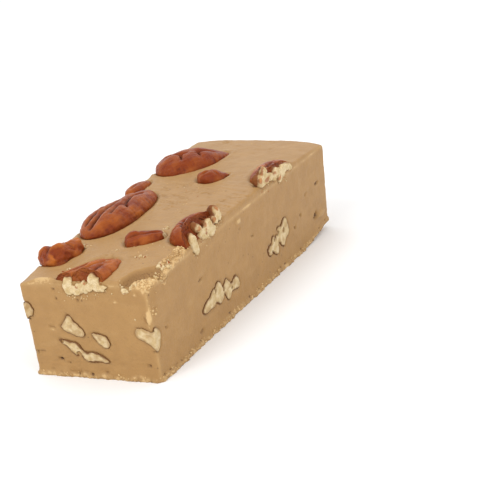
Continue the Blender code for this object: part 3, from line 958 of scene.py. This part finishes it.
dark, light = bm.verts.layers.float.new("dark"), bm.verts.layers.float.new("light")
for vertex in bm.verts:
    across, along, up = vertex.co
    box_point = Vector((across * MEAN_SIZE.x, along * MEAN_SIZE.y, up * MEAN_SIZE.z))
    soften = EDGE_ROUND * (1 + 0.45 * rough(box_point, 2.2, 21.0))
    core = Vector([min(size - soften, max(soften, value)) for value, size in zip(box_point, MEAN_SIZE)])
    core.z = min(core.z, box_point.z) if box_point.z < MEAN_SIZE.z - soften else MEAN_SIZE.z - soften
    outward = (box_point - core).normalized()
    rounded = core + outward * soften
    across, along, up = (value / size for value, size in zip(rounded, MEAN_SIZE))
    point = in_slice(across, along, up)
    point.z += swell(across, along) * up**1.5
    height_here = in_slice(across, along, 1.0).z

    # which wall it is on, and how far round and down
    wall, run = "top", 0.0
    if outward.y < -0.7:
        wall, run = "front", across * FRONT_LENGTH
    elif outward.y > 0.7:
        wall, run = "back", (1 - across) * BACK_LENGTH
    elif outward.x > 0.7:
        wall, run = "right", along * LENGTH
    elif outward.x < -0.7:
        wall, run = "left", (1 - along) * LENGTH
    drop = height_here - point.z

    out, stain_and_shade, pale = 0.0, 0.0, 0.0
    # soft waves, then the drag of the knife on the walls and the set skin's fine wrinkles on the top
    out += unevenness(point) + 0.04 * rough(point, 0.9, 24.0)
    if wall == "top":
        band = math.exp(-(((point.y - 3.0 + 0.25 * point.x) / 13.0) ** 2))
        folds = rough((point.x * 0.22, point.y * 1.3 + 0.35 * point.x, 0.0), 1.9, 25.0)
        out += (0.03 + 0.17 * band) * folds
        crack = 1 - ease(abs(folds + 0.2 * rough(point, 1.2, 33.0)), 0.0, 0.07)
        crack *= ease(rough(point, 4.5, 34.0) + 0.5 * band, 0.35, 0.6)
        out -= 0.22 * crack
        # painted shade: the cracks are darkened
        stain_and_shade = max(stain_and_shade, 0.35 * crack)
    else:
        out += 0.05 * rough((point.x * 0.3, point.y * 0.3, point.z * 1.6), 1.6, 26.0)
        pale = max(pale, 0.12 * ease(rough((point.x * 0.3, point.y * 0.3, point.z), 2.4, 35.0), 0.25, 0.6))

    for mark in MARKS:
        if mark.wall != wall or abs(mark.run - run) > 6 or abs(mark.drop - drop) > 5:
            continue
        lean = math.radians(mark.lean)
        right, below = run - mark.run, drop - mark.drop
        along_mark = (right * math.cos(lean) - below * math.sin(lean)) / mark.long
        over_mark = (right * math.sin(lean) + below * math.cos(lean)) / mark.tall
        reach = math.hypot(along_mark, over_mark) + 0.25 * rough(point, 0.8, 27.0)
        inside = 1 - ease(reach, 0.45, 1.1)
        out -= mark.depth * inside
        # painted shade inside the pit or slit
        stain_and_shade = max(stain_and_shade, mark.dark * (1 - ease(reach, 0.5, 1.0)))
        lip = math.exp(-((math.hypot(along_mark, over_mark - 1.4) / 0.8) ** 2))
        pale = max(pale, mark.light * (inside if mark.depth < 0 else lip))
        out += 0.14 * mark.light * lip

    # the foot spreads where the soft slab met the tray, in a pale ragged lip with torn slits above it that are
    # painted darker as shade
    if wall != "top":
        lip_height = 0.9 + 0.9 * rough(point, 4.0, 36.0)
        lip = 1 - ease(point.z, lip_height, lip_height + 0.5)
        lip *= ease((Vector((point.x, point.y)) - WORN_CORNER).length, 2.0, 12.0)
        out += lip * (0.16 + 0.42 * rough(point, 0.9, 29.0) + 0.2 * rough(point, 0.45, 37.0))
        pale = max(pale, lip * (0.42 + 0.5 * rough(point, 1.2, 38.0)))
        torn = 1 - ease(abs(point.z - lip_height - 0.45), 0.1, 0.5)
        torn *= ease(rough(point, 1.5, 39.0), 0.2, 0.4)
        out -= 0.3 * torn
        stain_and_shade = max(stain_and_shade, (0.4 if wall == "front" else 0.7) * torn)

    # cut edges are thin, so light shines through them and they look paler
    from_edges = [abs(drop), abs(run), abs(dict(BELT)[wall] - run)] if wall != "top" else [9.0]
    edge_glow = math.exp(-((min(from_edges) / 0.55) ** 2)) * (0.75 + 0.5 * rough(point, 2.5, 40.0))
    pale = max(pale, 0.62 * edge_glow)
    point += outward * out

    # the knife pressed a crest up along the front edge's left half
    flat = Vector((point.x, point.y))
    crest = math.exp(-(((across * FRONT_LENGTH - CREST_RUN) / 3.6) ** 2))
    crest *= math.exp(-(((flat.y + LENGTH / 2) / 1.1) ** 2))
    point.z += 0.95 * crest * ease(up, 0.9, 1.0)
    pale = max(pale, 0.7 * crest * ease(up, 0.9, 1.0))

    # a chip broke off the front right corner of the top, leaving a valley whose inboard wall is painted darker
    # as shade, and a crumbling ledge behind it
    crumble = rough(point, 1.5, 30.0) + 0.6 * rough(point, 0.7, 31.0)
    from_corner = flat - FRONT_RIGHT
    reach = math.hypot(from_corner.x / CHIP_REACH.x, from_corner.y / CHIP_REACH.y)
    reach += 0.05 * rough(point, 2.0, 41.0)
    top_share = ease(up, 0.9, 1.0)
    valley = ease(1.0 - reach, 0.0, 0.12) * (1 - 0.75 * ease(0.82 - reach, 0.0, 0.4))
    point.z -= CHIP_DEPTH * valley * top_share * (1 + 0.30 * crumble)
    point.z -= 0.9 * (1 - ease(reach, 0.0, 0.45)) * ease(up, 0.6, 1.0)
    stain_and_shade = max(stain_and_shade, 0.42 * ease(1.0 - reach, 0.0, 0.06) * (1 - ease(0.88 - reach, 0.0, 0.14)) * top_share)
    edge_run = from_corner.y
    inboard = HALF_WIDTHS["right", "front"][1] + 0.041 * edge_run - point.x
    ledge_width = 2.3 - 0.045 * edge_run + 0.5 * rough(point, 2.4, 42.0)
    on_ledge = ease(ledge_width - inboard, 0.0, 0.5) * (1 - ease(edge_run, LEDGE_END - 4, LEDGE_END))
    on_ledge *= ease(edge_run, 4.0, 8.0)
    point.z -= on_ledge * top_share * (0.8 + 0.5 * crumble)
    pale = max(pale, (0.75 + 0.5 * crumble) * on_ledge * top_share)
    crumbly_chip = ease(0.80 - reach, 0.0, 0.2) * top_share
    pale = max(pale, (0.5 + 0.6 * crumble) * crumbly_chip)
    point.x -= 0.8 * (1 - ease(reach, 0.0, 0.5)) * ease(up, 0.5, 1.0)

    # the back right corner is worn away at its base
    worn = 1 - ease((flat - WORN_CORNER).length, 0.0, 26.0)
    point.z += 2.3 * worn**2 * (1 - ease(up, 0.0, 0.3))

    # it draws back at each nut, where the nuts' oil darkens it in a halo and painted shade darkens a thin line
    # next to the nut, and lies well below it inside its rim
    nearest = nearest_nut.find(point)[2]
    pull = 1 - ease(nearest, 0.10, 0.48)
    if wall == "top":
        point.z -= 0.40 * pull
        point.z += 0.22 * math.exp(-(((nearest - 1.3) / 0.7) ** 2))
    else:
        point -= outward * 0.34 * pull
    halo = 0.20 * (1 - ease(nearest + 0.25 * rough(point, 0.9, 32.0), 0.15, 0.95))
    stain_and_shade = max(stain_and_shade, halo, 0.34 * (1 - ease(nearest + 0.25 * rough(point, 0.7, 43.0), 0.10, 0.36)))
    # painted shade: a shade darker towards the base
    stain_and_shade = max(stain_and_shade, 0.07 * (1 - ease(point.z, 0.0, 9.0)))
    for nut in NUTS.values():
        local = nut.frame.inverted() @ point
        reach = math.hypot(local.x / (nut.size[1] / 2), local.y / (nut.size[0] / 2))
        if wall == "top" and reach < 0.9:
            point.z -= TOP_SINK * (1 - ease(reach, 0.6, 0.9))
    vertex[dark], vertex[light] = stain_and_shade, pale
    vertex.co = point

# the flat base: a band drawn in from the foot, and one face
rim = [edge for edge in bm.edges if edge.is_boundary]
band = bmesh.ops.extrude_edge_only(bm, edges=rim)["geom"]
for vertex in (item for item in band if isinstance(item, bmesh.types.BMVert)):
    vertex.co = Vector((vertex.co.x * 0.6, vertex.co.y * 0.85, 0.0))
bmesh.ops.holes_fill(bm, edges=[edge for edge in bm.edges if edge.is_boundary], sides=0)
for vertex in bm.verts:
    vertex.co.z = max(0.0, vertex.co.z)

FUDGE_MAIN = (0.380, 0.210, 0.070, 1)
FUDGE_CLOUDS = (0.352, 0.192, 0.063, 1)
FUDGE_FLECKS = (0.290, 0.150, 0.050, 1)
FUDGE_LIGHT = (0.62, 0.41, 0.185, 1)
FUDGE_DARK = (0.105, 0.043, 0.014, 1)


def make_fudge_material(name, main, clouds, bump_depth):
    material, tree, shader = new_material(name, roughness=0.52, specular_ior_level=0.38)
    body = mottled(tree, main, clouds, FUDGE_FLECKS, 4.0, 0.8, 0.30)
    pale = painted(tree, "light")
    pale_crisp = place_group(tree, RAGGED, {"Value": pale, "Patch Size": 0.6, "Threshold": 0.5})["Mask"]
    pale_both = add_node(tree, "Mix", {0: 0.45, 2: pale, 3: pale_crisp}).outputs[0]
    paler = between_colours(tree, pale_both, body, FUDGE_LIGHT)
    # pores: tiny hollows painted darker as shade and sunk by the bump
    pores = place_group(tree, PORES, {"Spacing": 2.6, "Pore Size": 0.26, "Amount": 0.25})["Mask"]
    faint = add_node(tree, "Math", {0: pores, 1: 0.45}, operation="MULTIPLY").outputs[0]
    # the painted dark share: the nuts' oil stain, and painted shade in cracks, pits, slits, the chip valley,
    # next to each nut and towards the base
    stain_and_shade = painted(tree, "dark")
    stain_and_shade_crisp = place_group(tree, RAGGED, {"Value": stain_and_shade, "Patch Size": 0.35, "Threshold": 0.48})["Mask"]
    stain_and_shade_both = add_node(tree, "Mix", {0: 0.5, 2: stain_and_shade, 3: stain_and_shade_crisp}).outputs[0]
    stained_and_shaded = add_node(tree, "Math", {0: stain_and_shade_both, 1: faint}, operation="MAXIMUM").outputs[0]
    tree.links.new(between_colours(tree, stained_and_shaded, paler, FUDGE_DARK), shader["Base Color"])
    grain = place_group(tree, GRAIN, {"Grain Size": 0.45, "Lump Size": 2.0, "Lump Share": 0.4})["Height"]
    pitted = add_node(tree, "Math", {0: grain, 1: faint}, operation="SUBTRACT").outputs[0]
    add_bump(tree, shader, pitted, bump_depth)
    return material


FUDGE_FINISH = make_fudge_material("fudge", FUDGE_MAIN, FUDGE_CLOUDS, 0.20)
slice_piece = finish_piece("fudge_slice", bm, FUDGE_FINISH, "fudge", "fudge")

# Crumbs: grains of fudge on the foot, the ledge, the crushed corner and the top, which broke off as the knife
# went through. Each lies on the surface under it.
CRUMB_FINISH = make_fudge_material("fudge_crumbs", (0.66, 0.46, 0.22, 1), (0.48, 0.29, 0.115, 1), 0.10)
slice_tree = BVHTree.FromObject(slice_piece, bpy.context.evaluated_depsgraph_get())
chance = random.Random(7)


def scatter(bm, place, size, detail):
    """One crumb: an uneven lump, sunk a little into what it lies on."""
    angle = chance.uniform(0, 6.28)
    turn = Matrix.Rotation(angle, 3, Vector((chance.random(), chance.random(), 1)).normalized())
    stretch = Vector((1, chance.uniform(0.6, 1.0), chance.uniform(0.5, 0.85)))
    seed = chance.uniform(0, 90)
    for vertex in bmesh.ops.create_icosphere(bm, subdivisions=detail, radius=1.0)["verts"]:
        lump = 1 + 0.35 * rough(vertex.co, 0.9, seed)
        vertex.co = place + turn @ Vector([a * b * size * lump for a, b in zip(vertex.co, stretch)])


def drop_on_wall(run, height):
    """The point of the slice's surface straight in from this point of the walls."""
    outside_point = on_wall(run, height, 4.0)
    inward = on_wall(run, height, 0.0) - outside_point
    hit = slice_tree.ray_cast(outside_point * MM, inward.normalized())[0]
    return hit / MM if hit else None


def drop_on_top(x, y):
    hit = slice_tree.ray_cast(Vector((x, y, 60.0)) * MM, Vector((0, 0, -1)))[0]
    return hit / MM if hit else None


CRUMBS_KEPT_IN_FRONT = 0.45
fudge_crumbs = bmesh.new()
belt_length = sum(length for _, length in BELT)
for _ in range(620):
    run = chance.uniform(0, belt_length)
    place = drop_on_wall(run, 0.25 + 1.5 * chance.random() ** 2.2)
    if place and (run > BELT_START["right"] or chance.random() < CRUMBS_KEPT_IN_FRONT):
        scatter(fudge_crumbs, place, chance.uniform(0.10, 0.34), 2)
for _ in range(330):
    along_ledge = LEDGE_END * chance.random()
    x = FRONT_RIGHT.x + 0.03 * along_ledge - 2.4 * chance.random()
    place = drop_on_top(x, FRONT_RIGHT.y + 0.3 + along_ledge)
    if place:
        scatter(fudge_crumbs, place, chance.uniform(0.10, 0.24) + 0.3 * chance.random() ** 4, 2)
for _ in range(80):
    place = drop_on_top(FRONT_RIGHT.x - 6 * chance.random(), FRONT_RIGHT.y + 0.4 + 2.6 * chance.random())
    if place:
        scatter(fudge_crumbs, place, chance.uniform(0.12, 0.40), 2)
for _ in range(120):
    place = drop_on_top(chance.uniform(-18, 18), chance.uniform(-50, 51))
    if place:
        scatter(fudge_crumbs, place, chance.uniform(0.06, 0.18), 2)
for vertex in fudge_crumbs.verts:
    vertex.co.z = max(0.0, vertex.co.z)
finish_piece("fudge_crumbs", fudge_crumbs, CRUMB_FINISH, "fudge")

# Nut crumbs: cream and rust grains that the knife tore off. Most lie round the cut halves; a few bigger bits
# lie at set places, each given as x, y and its radius.
NUT_BITS = [
    (10.6, -51.9, 1.15), (11.9, -51.6, 0.7), (13.4, -51.5, 0.5), (9.4, -51.8, 0.5),
    (15.9, -43.9, 1.0), (15.2, -42.6, 1.1), (16.2, -41.3, 1.2), (14.6, -43.8, 0.7), (16.3, -39.8, 0.8),
    (-11.5, -32.0, 0.75), (-12.6, -31.2, 0.5), (7.8, -38.0, 0.6), (9.0, -38.4, 0.5), (6.6, -38.8, 0.35),
    (-8.2, -46.0, 0.5), (-9.4, -47.6, 0.4), (6.3, -20.6, 0.8), (-0.9, -34.4, 0.45), (-11.2, 30.2, 0.35),
]
nut_crumbs = bmesh.new()
for x, y, radius in NUT_BITS:
    for share in (0.85, 0.5, 0.4, 0.3):
        spread = (1 - share) * 1.2 * radius
        place = drop_on_top(x + chance.gauss(0, spread), y + chance.gauss(0, spread))
        if place:
            scatter(nut_crumbs, place, radius * share, 3)
for nut_name, lobes in FLESH_LOBES.items():
    for _ in range(26):
        run, drop, half_run, half_drop, _back = chance.choice(lobes)
        at = BELT_START[NUTS[nut_name].cut_wall] + run + chance.gauss(0, 1.3) * half_run
        place = drop_on_wall(at, top_edge(at) - max(0.3, drop + half_drop + abs(chance.gauss(0, 1.0))))
        if place:
            scatter(nut_crumbs, place, chance.uniform(0.08, 0.26), 2)
for _ in range(46):
    place = drop_on_top(chance.uniform(-16, 16), chance.uniform(-49, 20))
    if place:
        scatter(nut_crumbs, place, chance.uniform(0.07, 0.22), 2)
skin, fold = nut_crumbs.verts.layers.float.new("skin"), nut_crumbs.verts.layers.float.new("fold")
for vertex in nut_crumbs.verts:
    vertex[skin] = ease(rough(vertex.co, 0.8, 50.0), 0.25, 0.4)
    vertex[fold] = 0.4 * ease(rough(vertex.co, 0.5, 51.0), 0.1, 0.5)
finish_piece("nut_crumbs", nut_crumbs, FLESH_FINISH, "pecan_kernel")

# A pale floor that runs on to the horizon, a sky that is brightest behind the bar, a key light from the front
# and a weaker one from the right.
bm = bmesh.new()
bmesh.ops.create_grid(bm, x_segments=1, y_segments=1, size=3.0)
floor_mesh = bpy.data.meshes.new("floor")
bm.to_mesh(floor_mesh)
bm.free()
floor = bpy.data.objects.new("floor", floor_mesh)
bpy.context.scene.collection.objects.link(floor)
paper, tree, shader = new_material("floor", roughness=0.9, specular_ior_level=0.1)
fibre = mottled(tree, (0.90, 0.90, 0.90, 1), (0.895, 0.895, 0.895, 1), (0.89, 0.89, 0.89, 1), 60.0, 2.0, 0.2)
tree.links.new(fibre, shader["Base Color"])
floor_mesh.materials.append(paper)

BACKDROP = Vector((-0.40, 0.75, 0.55))  # the sky is brightest towards here, above and behind the bar
NEAR_LIGHT = 0.75
BACKDROP_LIGHT = 1.42
world = bpy.data.worlds.new("studio")
bpy.context.scene.world = world
world.use_nodes = True
sky = world.node_tree
direction = add_node(sky, "TexCoord").outputs["Generated"]
towards = add_node(sky, "VectorMath", {0: direction, 1: BACKDROP.normalized()}, operation="DOT_PRODUCT")
brightness = add_node(
    sky, "MapRange", {"Value": towards.outputs["Value"], "To Min": NEAR_LIGHT, "To Max": BACKDROP_LIGHT}
)
sky.links.new(brightness.outputs[0], sky.nodes["Background"].inputs["Strength"])
sky.nodes["Background"].inputs["Color"].default_value = (1.0, 1.0, 1.0, 1)


def add_light(name, size, power, place, aim, colour=(1, 1, 1)):
    lamp = bpy.data.lights.new(name, "AREA")
    lamp.shape = "SQUARE"
    lamp.size = size
    lamp.energy = power
    lamp.color = colour
    light_object = bpy.data.objects.new(name, lamp)
    light_object.location = place
    light_object.rotation_euler = (Vector(aim) - Vector(place)).to_track_quat("-Z", "Y").to_euler()
    bpy.context.scene.collection.objects.link(light_object)


add_light("key", 0.4, 3.1, (-0.15, -0.64, 0.60), (0, 0, 0.01))
add_light("fill", 0.4, 1.4, (0.62, -0.25, 0.35), (0, 0, 0.01))

AIM = Vector((0.01816, 0.0011, 0.0132))
EYE = Vector((0.18987, -0.33659, 0.15630))
camera_data = bpy.data.cameras.new("camera")
camera_data.lens = 108
camera_data.sensor_width = 36
camera = bpy.data.objects.new("camera", camera_data)
turn = (AIM - EYE).to_track_quat("-Z", "Y").to_matrix() @ Matrix.Rotation(math.radians(-8.33), 3, "Z")
camera.matrix_world = Matrix.Translation(EYE) @ turn.to_4x4()
bpy.context.scene.collection.objects.link(camera)
bpy.context.scene.camera = camera
bpy.context.scene.view_settings.view_transform = "Standard"
